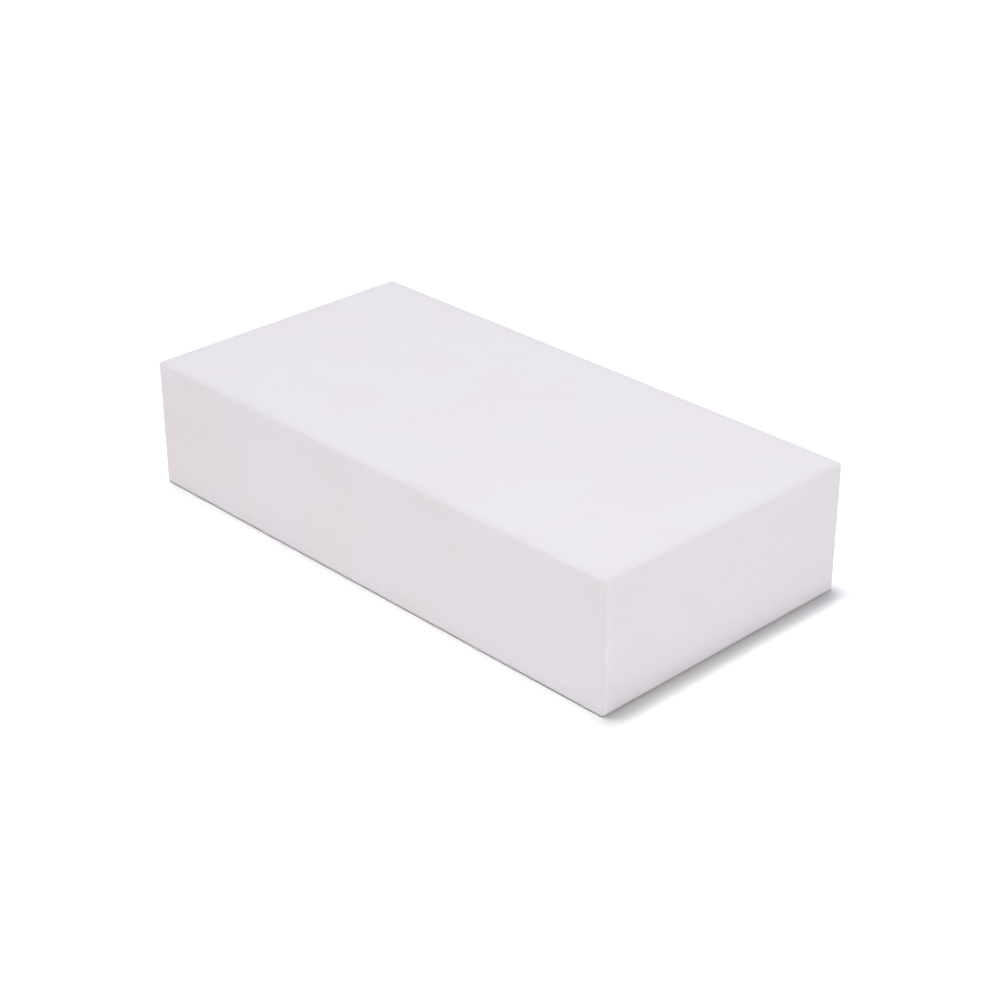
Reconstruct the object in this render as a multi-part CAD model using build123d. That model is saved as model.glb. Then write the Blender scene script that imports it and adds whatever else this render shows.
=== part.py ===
"""Nail buffer block: a foam bar with abrasive paper bonded to its four long faces.

The two ends show the bare foam and the cut edges of the paper strips. Millimetres.
+X runs along the block, +Y is its back, +Z is up. The origin is the centre of the
rectangle that the block rests on.
"""

import os

from build123d import *

# The whole block.
LENGTH = 95.0
WIDTH = 48.0
HEIGHT = 20.6
LONG_EDGE_RADIUS = 0.5  # the paper is folded over these edges
END_EDGE_RADIUS = 0.8  # ground on after the bar is cut to length, through every layer

# What lies on the foam, from the outside in.
GRIT_THICKNESS = 0.10
PAPER_THICKNESS = 0.15
GLUE_THICKNESS = 0.05

# A strip covers one face and half of each long edge beside it.
SIDES = ("top", "bottom", "front", "back")
SECTOR_REACH = 5.0  # how far a sector's mouth stands outside the block


def bar(depth):
    """The block's rounded section, taken in by depth all round, over the full length."""
    with BuildPart() as made:
        with BuildSketch(Plane.YZ.offset(-LENGTH / 2)):
            with Locations((0, HEIGHT / 2)):
                RectangleRounded(
                    WIDTH - 2 * depth, HEIGHT - 2 * depth, LONG_EDGE_RADIUS - depth
                )
        extrude(amount=LENGTH)
    return made.part


def softened_block():
    """The outside of the finished block: the full bar with both ends' edges ground round."""
    whole = bar(0)
    ends = whole.faces().filter_by(Axis.X)
    return fillet(ends.edges(), END_EDGE_RADIUS)


def sector(side):
    """The wedge of space that belongs to one side, cut off at 45 degrees in its long edges."""
    half_width = WIDTH / 2 - LONG_EDGE_RADIUS
    half_height = HEIGHT / 2 - LONG_EDGE_RADIUS
    across = side in ("top", "bottom")
    near, along = (half_height, half_width) if across else (half_width, half_height)
    far, wide = near + SECTOR_REACH, along + SECTOR_REACH
    sign = 1 if side in ("top", "back") else -1
    corners = [(-along, near), (along, near), (wide, far), (-wide, far)]
    outline = [(a, sign * n) if across else (sign * n, a) for a, n in corners]
    with BuildPart() as made:
        with BuildSketch(Plane.YZ.offset(-LENGTH / 2 - 1)):
            with Locations((0, HEIGHT / 2)):
                Polygon(*outline, align=None)
        extrude(amount=LENGTH + 2)
    return made.part


def one_solid(shape):
    """The shape's only solid, so that each file holds one clean body."""
    solids = shape.solids()
    if len(solids) != 1:
        raise ValueError(f"expected one solid, found {len(solids)}")
    return solids[0]


def main():
    os.makedirs("parts", exist_ok=True)
    block = softened_block()
    layers = [
        ("grit_coat", GRIT_THICKNESS),
        ("backing_paper", PAPER_THICKNESS),
        ("glue_film", GLUE_THICKNESS),
    ]
    sectors = {side: sector(side) for side in SIDES}
    depth = 0
    for layer, thickness in layers:
        outside = block & bar(depth) if depth else block
        shell = outside - bar(depth + thickness)
        for side in SIDES:
            strip = one_solid(shell & sectors[side])
            export_step(strip, f"parts/{side}_{layer}.step")
        depth += thickness
    foam = one_solid(block & bar(depth))
    export_step(foam, "parts/foam_core.step")


main()
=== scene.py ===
"""Nail buffer block: the look of each layer, with a floor, lights and a camera.

Metres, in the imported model's frame: +X runs along the block, +Y is its back, +Z is up,
and the origin is on the floor under its middle.
"""

import math

import bpy
import numpy as np
from bpy.props import FloatProperty, FloatVectorProperty, PointerProperty
from mathutils import Matrix, Vector


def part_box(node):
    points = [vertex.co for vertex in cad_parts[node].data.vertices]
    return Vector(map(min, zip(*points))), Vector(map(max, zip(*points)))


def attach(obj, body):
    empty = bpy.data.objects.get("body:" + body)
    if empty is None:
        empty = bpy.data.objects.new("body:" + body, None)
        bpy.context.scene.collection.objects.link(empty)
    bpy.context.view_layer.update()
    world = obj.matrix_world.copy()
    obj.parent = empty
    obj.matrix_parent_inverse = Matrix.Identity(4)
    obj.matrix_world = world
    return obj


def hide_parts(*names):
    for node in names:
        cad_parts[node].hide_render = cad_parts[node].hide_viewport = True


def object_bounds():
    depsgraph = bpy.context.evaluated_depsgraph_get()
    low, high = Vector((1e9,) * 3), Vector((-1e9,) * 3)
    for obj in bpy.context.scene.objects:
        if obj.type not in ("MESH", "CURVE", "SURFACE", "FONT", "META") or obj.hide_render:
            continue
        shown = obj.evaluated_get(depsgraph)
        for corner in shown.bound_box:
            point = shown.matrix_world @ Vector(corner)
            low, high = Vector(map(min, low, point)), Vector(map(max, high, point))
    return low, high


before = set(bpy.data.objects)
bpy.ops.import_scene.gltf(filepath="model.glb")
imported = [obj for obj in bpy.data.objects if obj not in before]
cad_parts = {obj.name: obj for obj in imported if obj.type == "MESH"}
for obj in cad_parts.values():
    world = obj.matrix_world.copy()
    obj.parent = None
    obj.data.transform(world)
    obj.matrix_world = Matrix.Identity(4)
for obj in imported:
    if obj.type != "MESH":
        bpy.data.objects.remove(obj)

bl_info = {
    "name": "Nail buffer block",
    "version": (1, 0, 0),
    "blender": (4, 5, 0),
    "location": "3D View > Sidebar > Buffer",
    "description": "A foam nail buffer block faced with abrasive paper",
    "category": "Object",
}

MM = 0.001

# The block's sizes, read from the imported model.
CAD_LOW, CAD_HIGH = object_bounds()
HALF_LENGTH = (CAD_HIGH.x - CAD_LOW.x) / 2
HALF_WIDTH = (CAD_HIGH.y - CAD_LOW.y) / 2
HALF_HEIGHT = (CAD_HIGH.z - CAD_LOW.z) / 2
MID_HEIGHT = (CAD_HIGH.z + CAD_LOW.z) / 2


def reach_of(node):
    """A node's half length, half width and highest point."""
    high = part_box(node)[1]
    return high.x, high.y, high.z


GRIT_REACH, GRIT_SPREAD, GRIT_TOP = reach_of("top_grit_coat")
PAPER_TOP = reach_of("top_backing_paper")[2]
GLUE_TOP = reach_of("top_glue_film")[2]
FOAM_TOP = reach_of("foam_core")[2]

# How deep each layer starts below the skin.
PAPER_DEPTH = GRIT_TOP - PAPER_TOP
GLUE_DEPTH = GRIT_TOP - GLUE_TOP
FOAM_DEPTH = GRIT_TOP - FOAM_TOP

# A strip stops half way round the long edge, so its spread gives that edge's radius.
LONG_RADIUS = (HALF_WIDTH - GRIT_SPREAD) / (1 - math.sin(math.pi / 4))


def end_radius():
    """The radius of the end edge, from how far the grit coat's inner face stops short.

    With a the shortfall and t the coat's thickness, the circle (r - a)^2 + (r - t)^2 = r^2
    gives r = a + t + sqrt(2 a t).
    """
    shortfall = HALF_LENGTH - GRIT_REACH
    return shortfall + PAPER_DEPTH + math.sqrt(2 * shortfall * PAPER_DEPTH)


END_RADIUS = end_radius()

# Painted shade where the coat turns over an edge, which dims the bright line the lights leave along
# it: 1 at the fold between two strips.
SHADE_WIDTH = 2.0 * MM  # how far the painted shade reaches in over the flat
WIDE_SHADE = 0.36  # painted shade where the flat of a wide face ends
NARROW_SHADE = 0.02  # painted shade where the flat of a narrow face ends
WIDE_END_SHADE = 0.8  # the cut ends of a wide face, as a share of the folds
NARROW_END_SHADE = 0.5  # the cut ends of a narrow face
END_TURN = END_RADIUS / 2  # about as far as the grit coat reaches into an end edge

SHARP_EDGE = math.radians(35)  # mesh faces that meet at more than this aren't smoothed

# The meshes' divisions.
FOLD_STEPS = 8  # across an eighth turn of a long edge
END_EDGE_STEPS = 5  # round a strip's end
INNER_STEPS = 16  # along a strip's inner face
FOAM_FOLD_STEPS = 10  # across a quarter turn of the foam
FOAM_RIM_STEPS = 11  # across the rim of the foam's end
FOAM_RINGS = 12  # along the foam

# Where each random field starts.
GRAIN_SEED, LUMP_SEED, RIPPLE_SEED = 11, 12, 13
CELL_SEEDS = {-1: 21, 1: 31}  # by the end's side of the block
GLUE_SEED, PAPER_SEED = 41, 42

SHALLOWEST_CELL = 0.35  # as a share of the deepest

# A cut edge's raggedness: its spacing and depth.
GLUE_RAG = (0.6 * MM, 0.006 * MM)
PAPER_RAG = (0.25 * MM, 0.01 * MM)

# Each side's quarter turns about X from the top, in the order that they follow round it.
QUARTER_TURNS = {"top": 0, "front": 1, "bottom": 2, "back": 3}


# ---------------------------------------------------------------- random fields

CUBE_CORNERS = np.array(np.meshgrid((0, 1), (0, 1), (0, 1))).reshape(3, -1).T
NEIGHBOURS = np.array(np.meshgrid((-1, 0, 1), (-1, 0, 1))).reshape(2, -1).T
HASH_STEPS = np.array(
    (0x9E3779B97F4A7C15, 0xC2B2AE3D27D4EB4F, 0x165667B19E3779F9), np.uint64
)
HASH_MIX = np.uint64(0xBF58476D1CE4E5B9)
HASH_SHIFT = np.uint64(31)


def hashed(cells, seed):
    """A repeatable number from 0 to 1 for each whole-number cell.

    Each coordinate times a large odd number is folded in, then multiplied and shifted.
    """
    mixed = np.full(cells.shape[:-1], seed, np.uint64)
    for axis in range(cells.shape[-1]):
        mixed ^= cells[..., axis].astype(np.int64).astype(np.uint64) * HASH_STEPS[axis]
        mixed = (mixed ^ (mixed >> HASH_SHIFT)) * HASH_MIX
    mixed ^= mixed >> HASH_SHIFT
    return mixed / 2.0**64


def smooth_noise(points, pitch, seed):
    """Random numbers at the corners of a cubic lattice, blended by 3t^2 - 2t^3. -1 to 1."""
    scaled = points / pitch
    base = np.floor(scaled)
    part = scaled - base
    weight = part * part * (3 - 2 * part)
    total = np.zeros(points.shape[:-1])
    for corner in CUBE_CORNERS:
        share = np.where(corner, weight, 1 - weight).prod(-1)
        total += share * hashed(base + corner, seed)
    return 2 * total - 1


def cut_cells(y, z, size, seed):
    """Foam cells on a cut face: how far into its cell each point is, and the cell's own number.

    Each square of a grid holds one point at random. The first result is the distance to
    the second nearest such point less the distance to the nearest, over the square's size.
    """
    scaled = np.stack((y, z), -1) / size
    base = np.floor(scaled)
    nearest = np.full(y.shape, np.inf)
    second = np.full(y.shape, np.inf)
    own = np.zeros(y.shape)
    for step in NEIGHBOURS:
        cell = base + step
        centre = cell + np.stack((hashed(cell, seed), hashed(cell, seed + 1)), -1)
        far = np.linalg.norm(scaled - centre, axis=-1)
        second = np.minimum(second, np.maximum(far, nearest))
        own = np.where(far < nearest, hashed(cell, seed + 2), own)
        nearest = np.minimum(nearest, far)
    return second - nearest, own


# ---------------------------------------------------------------- the block's shape


def skin_depth(y, z):
    """How deep a point of the section is below the skin: the edge radius, less its
    distance from the rectangle through the centres of the four edge arcs."""
    over_y = np.abs(y) - (HALF_WIDTH - LONG_RADIUS)
    over_z = np.abs(z) - (HALF_HEIGHT - LONG_RADIUS)
    outside = np.hypot(np.maximum(over_y, 0), np.maximum(over_z, 0))
    inside = np.minimum(np.maximum(over_y, over_z), 0)
    return LONG_RADIUS - outside - inside


def end_reach(depth):
    """How far along X the block goes at a depth: the end edge is a quarter circle."""
    short = END_RADIUS - np.minimum(depth, END_RADIUS)
    return HALF_LENGTH - END_RADIUS + np.sqrt(END_RADIUS**2 - short**2)


def edge_angle(depth):
    """The angle round the end edge at which the skin has sunk to a depth."""
    return math.acos(1 - depth / END_RADIUS)


def strip_stations(half_flat, pitch):
    """Distances across a strip, along the skin: the flat, then an eighth turn each side."""
    flat = np.linspace(-half_flat, half_flat, 2 * round(half_flat / pitch) + 1)
    turn = LONG_RADIUS * np.linspace(0, math.pi / 4, FOLD_STEPS + 1)[1:]
    return np.concatenate((-half_flat - turn[::-1], flat, half_flat + turn))


def turned(across, out, turns):
    """Points of the section turned about X by so many quarter turns."""
    c, s = math.cos(turns * math.pi / 2), math.sin(turns * math.pi / 2)
    return np.stack((across * c - out * s, across * s + out * c), -1)


def strip_section(side, along, depth):
    """Points and outward directions of one side's strip in the section (y, z).

    The flat run is a straight line, and each end of it turns by the distance left over the
    radius. The side's quarter turns then carry it round the block.
    """
    turns = QUARTER_TURNS[side]
    upright = turns % 2
    half_flat = (HALF_HEIGHT if upright else HALF_WIDTH) - LONG_RADIUS
    rise = (HALF_WIDTH if upright else HALF_HEIGHT) - LONG_RADIUS
    flat = np.clip(along, -half_flat, half_flat)
    angle = (along - flat) / LONG_RADIUS
    across = flat + (LONG_RADIUS - depth) * np.sin(angle)
    out = rise + (LONG_RADIUS - depth) * np.cos(angle)
    points = turned(across, out, turns)
    way = turned(np.sin(angle), np.cos(angle), turns)
    return points, way


def strip_loop(top_depth, bottom_depth, pitch):
    """The strip's long section (x, depth), as one closed loop.

    It runs along the outer face, round the +X end edge, back along the inner face and
    round the -X end edge. The third result is 1 on the outer face and falls to 0 round the
    end edges.
    """
    reach = float(end_reach(top_depth))
    deep_reach = float(end_reach(bottom_depth))
    face = np.linspace(-reach, reach, 2 * round(reach / pitch) + 1)
    angle = np.linspace(edge_angle(top_depth), edge_angle(bottom_depth), END_EDGE_STEPS + 1)[1:]
    edge_x = HALF_LENGTH - END_RADIUS + END_RADIUS * np.sin(angle)
    edge_depth = END_RADIUS * (1 - np.cos(angle))
    back = np.linspace(deep_reach, -deep_reach, INNER_STEPS + 1)[1:]
    shown = 1 - np.arange(1, END_EDGE_STEPS + 1) / END_EDGE_STEPS
    x = np.concatenate((face, edge_x, back, -edge_x[-2::-1]))
    face_depth = np.full(face.size, top_depth)
    back_depth = np.full(back.size, bottom_depth)
    depth = np.concatenate((face_depth, edge_depth, back_depth, edge_depth[-2::-1]))
    outer = np.concatenate((np.ones(face.size), shown, np.zeros(back.size), shown[-2::-1]))
    return x, depth, outer


def grid_quads(rows):
    """Four-cornered faces between the neighbours of a grid of vertex numbers."""
    corners = (rows[:-1, :-1], rows[:-1, 1:], rows[1:, 1:], rows[1:, :-1])
    return np.stack(corners, -1).reshape(-1, 4)


def new_piece(name, points, quads, rims=(), facts=None):
    """A smooth-shaded object from vertices, quads and a few many-cornered faces."""
    mesh = bpy.data.meshes.new(name)
    faces = quads.tolist() + [rim.tolist() for rim in rims]
    mesh.from_pydata(points.reshape(-1, 3), [], faces)
    for fact, values in (facts or {}).items():
        mesh.attributes.new(fact, "FLOAT", "POINT").data.foreach_set(
            "value", values.ravel().astype(np.float32)
        )
    mesh.shade_smooth()
    mesh.set_sharp_from_angle(angle=SHARP_EDGE)
    mesh.validate()
    piece = bpy.data.objects.new(name, mesh)
    bpy.context.scene.collection.objects.link(piece)
    return piece


def edge_shade(inward, turn, flat_shade):
    """How much painted shade the skin gets at a distance in from where an edge starts to turn.

    It grows by the square over the flat, to flat_shade, and evenly over the turn, to 1.
    """
    flat = flat_shade * np.clip(1 - inward / SHADE_WIDTH, 0, 1) ** 2
    return flat + (1 - flat_shade) * np.clip(-inward / turn, 0, 1)


def strip_piece(name, side, depths, pitch, relief):
    """One strip's closed shell: its long section carried across the side.

    relief(points, shown) is how far each point of the outer face sinks below the skin.
    """
    narrow = QUARTER_TURNS[side] % 2
    half_flat = (HALF_HEIGHT if narrow else HALF_WIDTH) - LONG_RADIUS
    along = strip_stations(half_flat, pitch[1])[:, None]
    x, depth, shown = strip_loop(*depths, pitch[0])
    section, way = strip_section(side, along, depth[None, :])
    x, shown = np.broadcast_arrays(x, shown * np.ones_like(along))
    points = np.stack((x, section[..., 0], section[..., 1]), -1)
    sunk = relief(points, shown)
    points[..., 1:] -= way * sunk[..., None]
    points[..., 2] += MID_HEIGHT
    numbers = np.arange(x.size).reshape(x.shape)
    quads = grid_quads(np.concatenate((numbers, numbers[:, :1]), 1))
    flat_shade, end_share = (NARROW_SHADE, NARROW_END_SHADE) if narrow else (WIDE_SHADE, WIDE_END_SHADE)
    # painted shade along the folds and the cut ends, passed to the material as an attribute
    long_shade = edge_shade(half_flat - np.abs(along), LONG_RADIUS * math.pi / 4, flat_shade)
    end_shade = end_share * edge_shade(HALF_LENGTH - END_RADIUS - np.abs(x), END_TURN, flat_shade)
    facts = {"edge_shade": np.maximum(long_shade, end_shade)}
    return new_piece(name, points, quads, (numbers[0, ::-1], numbers[-1]), facts)


def grit_relief(settings):
    """Grains at two sizes on paper that lies a little unevenly on the foam."""

    def relief(points, shown):
        grain = smooth_noise(points, settings.grain_pitch, GRAIN_SEED)
        grain = (grain + smooth_noise(points, settings.grain_pitch * 2, LUMP_SEED)) / 2
        ripple = smooth_noise(points, settings.ripple_pitch, RIPPLE_SEED)
        grain_part = settings.grain_height * (1 + grain) / 2
        return (grain_part + settings.ripple_height * (1 + ripple) / 2) * shown

    return relief


def cut_edge_relief(pitch, height, seed):
    """A slightly ragged cut edge, and a plain face."""

    def relief(points, shown):
        ragged = (1 + smooth_noise(points, pitch, seed)) / 2
        return height * ragged * (shown > 0) * (shown < 1)

    return relief


def foam_end_grid(pitch):
    """The y and z of a grid over the foam's end.

    Each row stretches between the section's two sides at its height. Rows are closer
    together in the rounded edges, and so are points near the ends of a row.
    """
    half_y, half_z = HALF_WIDTH - FOAM_DEPTH, HALF_HEIGHT - FOAM_DEPTH
    radius = LONG_RADIUS - FOAM_DEPTH
    flat = half_z - radius
    turn = radius * np.sin(np.linspace(0, math.pi / 2, FOAM_FOLD_STEPS + 1)[1:])
    middle = np.linspace(-flat, flat, 2 * round(flat / pitch) + 1)
    z = np.concatenate((-flat - turn[::-1], middle, flat + turn))[:, None]
    past = np.maximum(np.abs(z) - flat, 0)
    half_row = half_y - radius + np.sqrt(np.maximum(radius**2 - past**2, 0))
    rim = np.linspace(0, END_RADIUS / half_y, FOAM_RIM_STEPS + 1)
    inner = np.linspace(-1 + rim[-1], 1 - rim[-1], 2 * round(half_y / pitch) + 1)
    share = np.concatenate((rim[:-1] - 1, inner, 1 - rim[-2::-1]))[None, :]
    return share * half_row, z * np.ones_like(share)


def cut_pits(y, z, seed, settings):
    """How deep each point of a cut end lies: 0 on the cells' walls, up to 1 inside them.

    A wall slopes by 3t^2 - 2t^3, and each cell has a depth of its own.
    """
    inside, own = cut_cells(y, z, settings.cell_size, seed)
    open_part = np.clip(inside / settings.wall_share, 0, 1)
    slope = open_part * open_part * (3 - 2 * open_part)
    return slope * (SHALLOWEST_CELL + (1 - SHALLOWEST_CELL) * own)


def foam_rim_shade(y, z, inset):
    """How much painted shade the foam's rim gets. It falls by the square inwards, and is less by a
    narrow face.
    """
    by_narrow = HALF_WIDTH - np.abs(y) < HALF_HEIGHT - np.abs(z)
    return np.where(by_narrow, NARROW_END_SHADE, 1) * (1 - inset) ** 2


def rim_loop(numbers):
    """The vertex numbers once round the edge of a grid."""
    return np.concatenate((numbers[0], numbers[1:, -1], numbers[-1, -2::-1], numbers[-2:0:-1, 0]))


def foam_rings(rim):
    """Rings of points between the foam's ends: the +X rim with its x times -1 to 1."""
    shares = np.linspace(-1, 1, FOAM_RINGS + 1)[1:-1]
    scale = np.ones((shares.size, 1, 3))
    scale[:, 0, 0] = shares
    return rim * scale


def foam_piece(settings):
    """The foam bar: a grid over each end, joined by a tube along the strips.

    A point of an end stands at the end edge's reach at its depth, less its cut cell.
    """
    y, z = foam_end_grid(settings.cell_pitch)
    depth = np.maximum(skin_depth(y, z), FOAM_DEPTH)
    inset = np.clip((depth - FOAM_DEPTH) / (END_RADIUS - FOAM_DEPTH), 0, 1)
    ends, pits = [], []
    for sign, seed in CELL_SEEDS.items():
        pit = cut_pits(y, z, seed, settings) * inset
        x = sign * (end_reach(depth) - settings.cell_depth * pit)
        ends.append(np.stack((x, y, z + MID_HEIGHT), -1).reshape(-1, 3))
        pits.append(pit.ravel())
    numbers = np.arange(y.size).reshape(y.shape)
    loop = rim_loop(numbers)
    tube = foam_rings(ends[1][loop]).reshape(-1, 3)
    tube_numbers = 2 * y.size + np.arange(len(tube)).reshape(-1, loop.size)
    rows = np.concatenate((loop[None], tube_numbers, loop[None] + y.size))
    rows = np.concatenate((rows, rows[:, :1]), 1)
    end_quads = grid_quads(numbers)
    quads = np.concatenate((end_quads[:, ::-1], end_quads + y.size, grid_quads(rows)))
    hidden = np.zeros(len(tube))
    # painted shade round the rim of the foam's ends
    rim_shade = foam_rim_shade(y, z, inset).ravel()
    facts = {
        "pit": np.concatenate((*pits, hidden)),
        "edge_shade": np.concatenate((rim_shade, rim_shade, hidden)),
    }
    return new_piece("foam_bar", np.concatenate((*ends, tube)), quads, (), facts)


# ---------------------------------------------------------------- materials


def add(tree, kind, *values, fields=None, **named):
    """A new node. Values fill its sockets in order and by name: a socket is joined up."""
    made = tree.nodes.new(kind)
    for field, value in (fields or {}).items():
        setattr(made, field, value)
    pairs = list(enumerate(values)) + [(n.replace("_", " "), v) for n, v in named.items()]
    for key, value in pairs:
        if isinstance(value, bpy.types.NodeSocket):
            tree.links.new(value, made.inputs[key])
        else:
            made.inputs[key].default_value = value
    return made


def material(name, roughness, specular):
    """A new material: its tree, its shader and the object coordinates."""
    made = bpy.data.materials.new(name)
    made.use_nodes = True
    tree = made.node_tree
    tree.nodes.clear()
    shader = add(tree, "ShaderNodeBsdfPrincipled", Roughness=roughness, Specular_IOR_Level=specular)
    add(tree, "ShaderNodeOutputMaterial", Surface=shader.outputs["BSDF"])
    place = add(tree, "ShaderNodeTexCoord").outputs["Object"]
    return made, tree, shader, place


def noise(tree, place, size, detail=2.0):
    """Cloudy noise whose features are about size across."""
    made = add(tree, "ShaderNodeTexNoise", Vector=place, Scale=1 / size, Detail=detail, Roughness=0.5)
    return made.outputs["Fac"]


def cells(tree, place, size, output="Distance"):
    """Rounded cells about size across."""
    made = add(tree, "ShaderNodeTexVoronoi", Vector=place, Scale=1 / size)
    return made.outputs[output]


def spread(tree, value, given, wanted=(0, 1)):
    """Carries a value from the given range over to the wanted one, and holds it at the ends."""
    made = add(tree, "ShaderNodeMapRange", value, *given, *wanted)
    return made.outputs["Result"]


def tinted(tree, share, first, second):
    """A blend of two colours."""
    made = add(tree, "ShaderNodeMix", fields={"data_type": "RGBA"})
    tree.links.new(share, made.inputs[0])
    made.inputs[6].default_value = (*first, 1)
    made.inputs[7].default_value = (*second, 1)
    return made.outputs[2]


def shaded(tree, colour, value, low, high):
    """A colour times a factor that goes from low to high as a value goes from 0 to 1."""
    factor = spread(tree, value, (0, 1), (low, high))
    made = add(tree, "ShaderNodeVectorMath", colour, fields={"operation": "SCALE"}, Scale=factor)
    return made.outputs["Vector"]


def fact(tree, name):
    """A piece's own attribute."""
    return add(tree, "ShaderNodeAttribute", fields={"attribute_name": name}).outputs["Fac"]


def with_edge_shade(tree, colour, least):
    """A colour with painted shade: it darkens to least times itself where the edge shade is full."""
    return shaded(tree, colour, fact(tree, "edge_shade"), 1.0, least)


def bumped(tree, shader, *heights):
    """Stacks bumps on the shader's normal, each a height map and its height in metres."""
    normal = None
    for height, metres in heights:
        bump = add(tree, "ShaderNodeBump", Height=height, Distance=metres, Strength=1.0)
        if normal:
            tree.links.new(normal, bump.inputs["Normal"])
        normal = bump.outputs["Normal"]
    tree.links.new(normal, shader.inputs["Normal"])


def scaled_colour(colour, factors):
    """A colour with each channel times its factor."""
    return [channel * factor for channel, factor in zip(colour, factors)]


# The patterns' sizes and heights, and what they multiply a colour by.
BLOOM_SIZE = 14 * MM  # clouds of dry lubricant on the grit
PINK_BLOOM = (1.012, 0.994, 0.992)
BLUE_BLOOM = (1.008, 1.014, 1.02)
GRAIN_SIZE = 0.14 * MM  # grains that differ in shade
DOME_SIZE = 0.16 * MM  # grains that stand up
RESIN_SIZE = 1.1 * MM  # the resin's soft waves
GRIT_BUMP = 0.004 * MM
# painted shade along the grit's folds, which dims their lit bright line
GRIT_EDGE_SHADE = 0.90

FIBRE_SIZE = 0.09 * MM
FIBRE_STRETCH = (0.12, 1, 1)  # fibres lie along X
FIBRE_BUMP = 0.006 * MM
FIBRE_SHADE = (0.97, 0.968, 0.96)
FLOW_SIZE = 2.5 * MM  # the glue's waves
FLOW_BUMP = 0.01 * MM
FLOW_SHADE = (0.98, 0.975, 0.96)
CUT_EDGE_SHADE = 0.94  # painted shade on the paper's and the glue's cut edges

DRIFT_SIZE = 11 * MM  # slow drift of the foam's colour
DRIFT_SHADE = (1.012, 1.006, 1.004)
BUBBLE_SIZE = 0.2 * MM
BUBBLE_BUMP = 0.006 * MM
# painted shade round the foam's rim
FOAM_EDGE_SHADE = 0.91

SPECK_SIZE = 3 * MM  # the floor's
SPECK_SHADE = (0.995, 0.995, 0.995)


def grit_material(colour):
    """Fine white abrasive in matte resin: grains, a cloudy dry-lubricant bloom, painted shade along
    the edges.
    """
    made, tree, shader, place = material("grit_coat", roughness=0.74, specular=0.35)
    bloom = noise(tree, place, BLOOM_SIZE, detail=3.0)
    pink, blue = scaled_colour(colour, PINK_BLOOM), scaled_colour(colour, BLUE_BLOOM)
    base = tinted(tree, spread(tree, bloom, (0.37, 0.56)), pink, blue)
    grain_shade = cells(tree, place, GRAIN_SIZE, "Color")
    grain = add(tree, "ShaderNodeSeparateColor", grain_shade).outputs[0]
    base = shaded(tree, base, grain, 0.985, 1.0)
    # painted shade along the edges
    tree.links.new(with_edge_shade(tree, base, GRIT_EDGE_SHADE), shader.inputs["Base Color"])
    tree.links.new(spread(tree, bloom, (0.3, 0.7), (0.78, 0.68)), shader.inputs["Roughness"])
    dome = spread(tree, cells(tree, place, DOME_SIZE), (0, 0.7), (1, 0))
    bumped(tree, shader, (noise(tree, place, RESIN_SIZE), GRIT_BUMP), (dome, GRIT_BUMP))
    return made


def paper_material(colour):
    """The white backing paper, with fibres lying along the roll."""
    made, tree, shader, place = material("backing_paper", roughness=0.85, specular=0.3)
    along = add(tree, "ShaderNodeMapping", place, Scale=FIBRE_STRETCH).outputs["Vector"]
    fibre = noise(tree, along, FIBRE_SIZE, detail=4.0)
    base = tinted(tree, spread(tree, fibre, (0.35, 0.65)), scaled_colour(colour, FIBRE_SHADE), colour)
    # painted shade along the cut edges
    tree.links.new(with_edge_shade(tree, base, CUT_EDGE_SHADE), shader.inputs["Base Color"])
    bumped(tree, shader, (fibre, FIBRE_BUMP))
    return made


def glue_material(colour):
    """The dried glue: a smooth film, a little uneven."""
    made, tree, shader, place = material("glue_film", roughness=0.45, specular=0.5)
    flow = noise(tree, place, FLOW_SIZE)
    base = tinted(tree, flow, scaled_colour(colour, FLOW_SHADE), colour)
    # painted shade along the cut edges
    tree.links.new(with_edge_shade(tree, base, CUT_EDGE_SHADE), shader.inputs["Base Color"])
    tree.links.new(spread(tree, flow, (0.3, 0.7), (0.38, 0.55)), shader.inputs["Roughness"])
    bumped(tree, shader, (flow, FLOW_BUMP))
    return made


def foam_material(colour):
    """Cut closed-cell foam: fine bubbles between the larger cells, with painted shade in the pits, in
    the bubbles' hollows and round the rim.
    """
    made, tree, shader, place = material("foam", roughness=0.88, specular=0.25)
    drift = spread(tree, noise(tree, place, DRIFT_SIZE, detail=3.0), (0.4, 0.6))
    base = tinted(tree, drift, colour, scaled_colour(colour, DRIFT_SHADE))
    # painted shade: darker inside the cut cells' pits
    base = shaded(tree, base, fact(tree, "pit"), 1.0, 0.985)
    bubble = cells(tree, place, BUBBLE_SIZE)
    # painted shade: darker at the bubbles' hollow centres, where the bump is lowest
    base = shaded(tree, base, bubble, 0.985, 1.005)
    # painted shade round the rim
    tree.links.new(with_edge_shade(tree, base, FOAM_EDGE_SHADE), shader.inputs["Base Color"])
    bumped(tree, shader, (spread(tree, bubble, (0, 0.8)), BUBBLE_BUMP))
    return made


def floor_material(colour, glow):
    """A plain pale matte floor. It glows from a near to a far distance, as a lit sweep does."""
    made, tree, shader, place = material("studio_floor", roughness=0.9, specular=0.2)
    speck = noise(tree, place, SPECK_SIZE)
    base = tinted(tree, speck, scaled_colour(colour, SPECK_SHADE), colour)
    tree.links.new(base, shader.inputs["Base Color"])
    length = add(tree, "ShaderNodeVectorMath", place, fields={"operation": "LENGTH"})
    shader.inputs["Emission Color"].default_value = (1, 1, 1, 1)
    strength = spread(tree, length.outputs["Value"], glow)
    tree.links.new(strength, shader.inputs["Emission Strength"])
    return made


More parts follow.
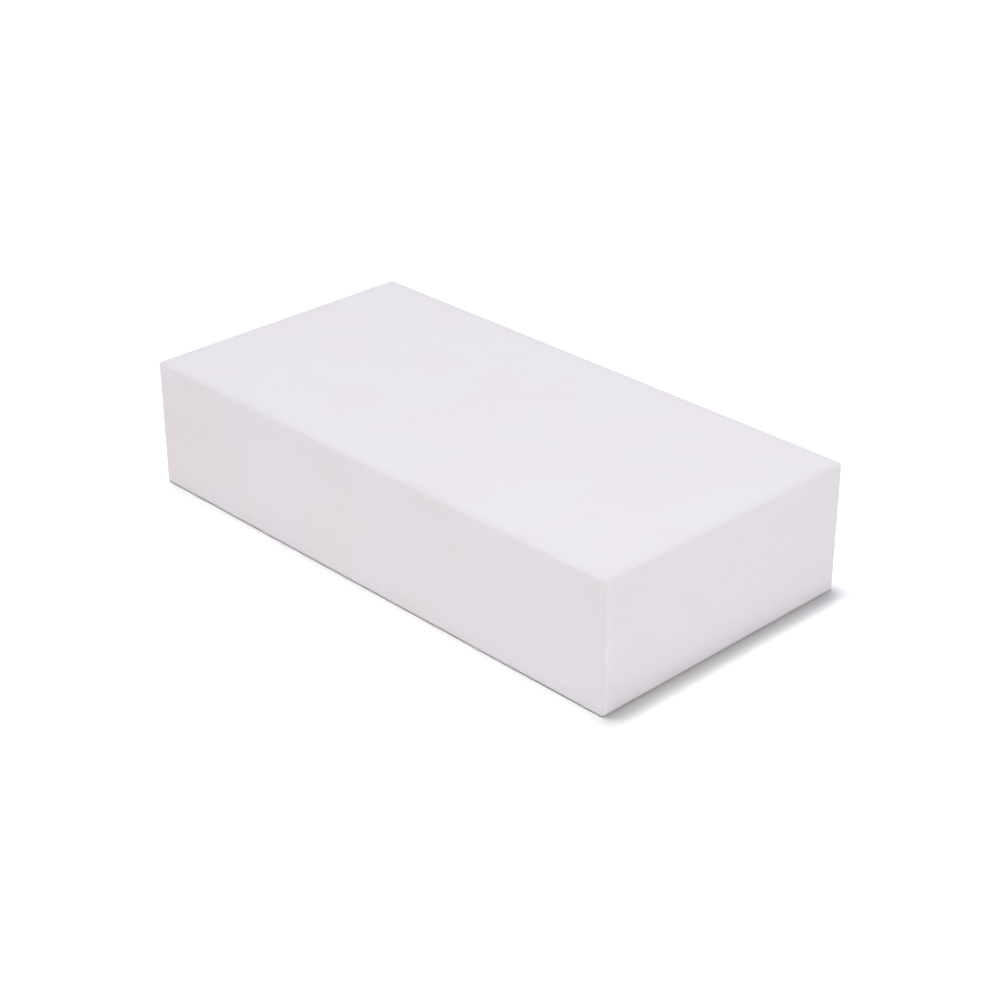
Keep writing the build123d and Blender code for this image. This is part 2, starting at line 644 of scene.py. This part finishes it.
def room(light, wall_light, wall_rise):
    """The room: a bright wall at the horizon that fades upwards into even light."""
    made = bpy.data.worlds.new("room")
    made.use_nodes = True
    tree = made.node_tree
    way = add(tree, "ShaderNodeTexCoord").outputs["Generated"]
    rise = add(tree, "ShaderNodeSeparateXYZ", way).outputs["Z"]
    strength = spread(tree, rise, (0, wall_rise), (wall_light, light))
    background = tree.nodes["Background"]
    background.inputs["Color"].default_value = (1, 1, 1, 1)
    tree.links.new(strength, background.inputs["Strength"])
    return made


# ---------------------------------------------------------------- settings


def millimetres(name, description, value):
    """A small length."""
    return FloatProperty(
        name=name, description=description, default=value * MM, min=0, precision=6, unit="LENGTH"
    )


def metres(name, description, value):
    """A length in the room."""
    return FloatProperty(name=name, description=description, default=value, unit="LENGTH")


def degrees(name, description, value):
    """An angle."""
    return FloatProperty(
        name=name, description=description, default=math.radians(value), subtype="ANGLE"
    )


def colour_of(name, description, value):
    """A linear colour."""
    return FloatVectorProperty(
        name=name, description=description, default=value, size=3, min=0, max=1, subtype="COLOR"
    )


def number(name, description, value, **limits):
    """A plain number."""
    return FloatProperty(name=name, description=description, default=value, **limits)


class BufferBlockSettings(bpy.types.PropertyGroup):
    """Textures and colours of the block."""

    grit_step: millimetres("Grit step", "Spacing of the grit coat's mesh", 0.24)
    paper_step: millimetres("Paper step", "Spacing of the hidden layers' mesh along the block", 4.0)
    grain_pitch: millimetres("Grain pitch", "Spacing of the abrasive's lumps", 0.45)
    grain_height: millimetres("Grain height", "How far the lumps stand up", 0.006)
    ripple_pitch: millimetres("Ripple pitch", "Spacing of the pasted paper's waves", 9.0)
    ripple_height: millimetres("Ripple height", "Height of the pasted paper's waves", 0.03)
    cell_pitch: millimetres("Foam step", "Spacing of the foam ends' mesh", 0.165)
    cell_size: millimetres("Cell size", "Width of the foam's larger cells", 0.5)
    cell_depth: millimetres("Cell depth", "Depth of the cut cells", 0.012)
    wall_share: number("Wall share", "Sloping part of a cell", 0.45, min=0.05, max=1)
    grit_colour: colour_of("Grit", "Colour of the abrasive", (0.735, 0.706, 0.74))
    paper_colour: colour_of("Paper", "Colour of the backing paper", (0.705, 0.68, 0.695))
    glue_colour: colour_of("Glue", "Colour of the glue film", (0.70, 0.675, 0.68))
    foam_colour: colour_of("Foam", "Colour of the foam", (0.74, 0.715, 0.74))


class BufferStageSettings(bpy.types.PropertyGroup):
    """Floor, room and camera."""

    floor_half: metres("Floor reach", "Half the floor's side", 6.0)
    floor_colour: colour_of("Floor", "Colour of the floor", (0.97, 0.97, 0.97))
    glow_start: metres("Glow start", "Where the floor begins to glow", 0.25)
    glow_full: metres("Glow full", "Where the floor glows fully", 0.9)
    room_light: number("Room light", "Even light from above", 0.12, min=0)
    wall_light: number("Wall light", "Light of the wall at the horizon", 1.0, min=0)
    wall_rise: number("Wall rise", "Sine of the angle at which the wall ends", 0.25, min=0.01)
    camera_turn: degrees("Turn", "Round the block from its front", 45.95)
    camera_rise: degrees("Rise", "Above the floor", 27.72)
    camera_roll: degrees("Roll", "Tilt of the frame", -0.085)
    camera_range: metres("Range", "Distance of the camera", 0.3292)
    camera_lens: number("Lens", "Focal length in millimetres", 78.49, min=1)
    camera_right: millimetres("Right", "How far the camera stands to the right of the block", 2.32)
    camera_up: millimetres("Up", "How far the camera stands above the block's foot in the frame", 4.96)


# ---------------------------------------------------------------- operators


def finish_piece(piece, node, made):
    """Rides the piece on the block in place of its CAD node, in its material."""
    piece.data.materials.append(made)
    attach(piece, "root")
    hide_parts(node)


def settings_of(context):
    return context.scene.buffer_block


class BUFFER_OT_foam(bpy.types.Operator):
    """Makes the foam bar, with cut cells on its ends"""

    bl_idname = "buffer.foam"
    bl_label = "Foam bar"

    def execute(self, context):
        settings = settings_of(context)
        piece = foam_piece(settings)
        finish_piece(piece, "foam_core", foam_material(settings.foam_colour))
        return {"FINISHED"}


class BUFFER_OT_glue(bpy.types.Operator):
    """Makes the glue film under each paper strip"""

    bl_idname = "buffer.glue"
    bl_label = "Glue films"

    def execute(self, context):
        settings = settings_of(context)
        made = glue_material(settings.glue_colour)
        relief = cut_edge_relief(*GLUE_RAG, GLUE_SEED)
        pitch = (settings.paper_step, settings.grit_step)
        for side in QUARTER_TURNS:
            piece = strip_piece(f"{side}_glue", side, (GLUE_DEPTH, FOAM_DEPTH), pitch, relief)
            finish_piece(piece, f"{side}_glue_film", made)
        return {"FINISHED"}


class BUFFER_OT_paper(bpy.types.Operator):
    """Makes the backing paper of each strip"""

    bl_idname = "buffer.paper"
    bl_label = "Backing papers"

    def execute(self, context):
        settings = settings_of(context)
        made = paper_material(settings.paper_colour)
        relief = cut_edge_relief(*PAPER_RAG, PAPER_SEED)
        pitch = (settings.paper_step, settings.grit_step)
        for side in QUARTER_TURNS:
            piece = strip_piece(f"{side}_paper", side, (PAPER_DEPTH, GLUE_DEPTH), pitch, relief)
            finish_piece(piece, f"{side}_backing_paper", made)
        return {"FINISHED"}


class BUFFER_OT_grit(bpy.types.Operator):
    """Makes the abrasive coat of each strip"""

    bl_idname = "buffer.grit"
    bl_label = "Grit coats"

    def execute(self, context):
        settings = settings_of(context)
        made = grit_material(settings.grit_colour)
        relief = grit_relief(settings)
        pitch = (settings.grit_step, settings.grit_step)
        for side in QUARTER_TURNS:
            piece = strip_piece(f"{side}_grit", side, (0.0, PAPER_DEPTH), pitch, relief)
            finish_piece(piece, f"{side}_grit_coat", made)
        return {"FINISHED"}


# Each light: name, where it stands, side length, power in watts, colour.
LIGHTS = (
    ("key", (-0.17, -0.03, 2.0), 0.25, 12.45, (0.982, 0.987, 1.0)),
    ("front_key", (-0.20, -0.20, 2.0), 0.3, 10.48, (0.98, 0.984, 1.0)),
    ("back_key", (-0.25, 0.25, 2.0), 0.4, 12.45, (0.968, 0.967, 1.0)),
    ("corner_lamp", (0.085, -0.06, 0.16), 0.06, 0.026, (0.94, 0.972, 1.0)),
    ("left_fill", (-0.85, -0.85, 0.35), 0.5, 0.4, (1.0, 0.75, 0.70)),
    ("right_fill", (1.0, 0.0, 0.10), 0.2, 2.72, (1.0, 0.955, 0.962)),
    ("back_fill", (0.0, 1.0, 0.25), 0.5, 2.4, (0.82, 0.87, 1.0)),
    ("front_fill", (0.0, -1.0, 0.06), 0.1, 2.27, (1.0, 0.975, 0.945)),
)


CLIP_START = 10 * MM  # nothing stands nearer the camera


def camera_axes(stage):
    """The camera's right, up and back directions."""
    turn, rise = stage.camera_turn, stage.camera_rise
    back = Vector(
        (math.sin(turn) * math.cos(rise), -math.cos(turn) * math.cos(rise), math.sin(rise))
    )
    level = Vector((0, 0, 1)).cross(back).normalized()
    upright = back.cross(level)
    roll = Matrix.Rotation(stage.camera_roll, 3, back)
    return roll @ level, roll @ upright, back


def make_floor(stage):
    """The floor, a square at the block's foot."""
    half = stage.floor_half
    corners = np.array([(-half, -half, 0), (half, -half, 0), (half, half, 0), (-half, half, 0)])
    floor = new_piece("floor", corners, np.array([[0, 1, 2, 3]]))
    glow = (stage.glow_start, stage.glow_full)
    floor.data.materials.append(floor_material(stage.floor_colour, glow))


def make_lights(scene):
    """The lamps, all turned to the block's middle and hidden from the camera."""
    middle = Vector((0, 0, MID_HEIGHT))
    for name, spot, side, power, colour in LIGHTS:
        lamp = bpy.data.lights.new(name, "AREA")
        lamp.size = side
        lamp.energy = power
        lamp.color = colour
        light = bpy.data.objects.new(name, lamp)
        light.location = spot
        light.rotation_euler = (Vector(spot) - middle).to_track_quat("Z", "Y").to_euler()
        light.visible_camera = False
        scene.collection.objects.link(light)


def make_camera(scene, stage):
    """The camera, looking along its own back direction from beside the block's foot."""
    right, up, back = camera_axes(stage)
    lens = bpy.data.cameras.new("camera")
    lens.lens = stage.camera_lens
    lens.clip_start = CLIP_START
    camera = bpy.data.objects.new("camera", lens)
    spot = back * stage.camera_range + right * stage.camera_right + up * stage.camera_up
    axes = Matrix((right, up, back)).transposed().to_4x4()
    camera.matrix_world = Matrix.Translation(spot) @ axes
    scene.collection.objects.link(camera)
    scene.camera = camera


class BUFFER_OT_stage(bpy.types.Operator):
    """Makes the floor, the lights and the camera"""

    bl_idname = "buffer.stage"
    bl_label = "Stage"

    def execute(self, context):
        scene = context.scene
        stage = scene.buffer_stage
        make_floor(stage)
        make_lights(scene)
        scene.world = room(stage.room_light, stage.wall_light, stage.wall_rise)
        scene.view_settings.view_transform = "Standard"
        make_camera(scene, stage)
        return {"FINISHED"}


class BUFFER_PT_panel(bpy.types.Panel):
    """Lists the pieces and their settings"""

    bl_idname = "BUFFER_PT_panel"
    bl_label = "Nail buffer block"
    bl_space_type = "VIEW_3D"
    bl_region_type = "UI"
    bl_category = "Buffer"

    def draw(self, context):
        for operator in OPERATORS:
            self.layout.operator(operator.bl_idname)
        for group in (context.scene.buffer_block, context.scene.buffer_stage):
            for key in group.__annotations__:
                self.layout.prop(group, key)


OPERATORS = (BUFFER_OT_foam, BUFFER_OT_glue, BUFFER_OT_paper, BUFFER_OT_grit, BUFFER_OT_stage)
CLASSES = (BufferBlockSettings, BufferStageSettings, *OPERATORS, BUFFER_PT_panel)


def register():
    for each in CLASSES:
        bpy.utils.register_class(each)
    bpy.types.Scene.buffer_block = PointerProperty(type=BufferBlockSettings)
    bpy.types.Scene.buffer_stage = PointerProperty(type=BufferStageSettings)


def unregister():
    del bpy.types.Scene.buffer_stage
    del bpy.types.Scene.buffer_block
    for each in reversed(CLASSES):
        bpy.utils.unregister_class(each)


def main():
    register()
    bpy.ops.buffer.foam()
    bpy.ops.buffer.glue()
    bpy.ops.buffer.paper()
    bpy.ops.buffer.grit()
    bpy.ops.buffer.stage()


if __name__ == "__main__":
    main()
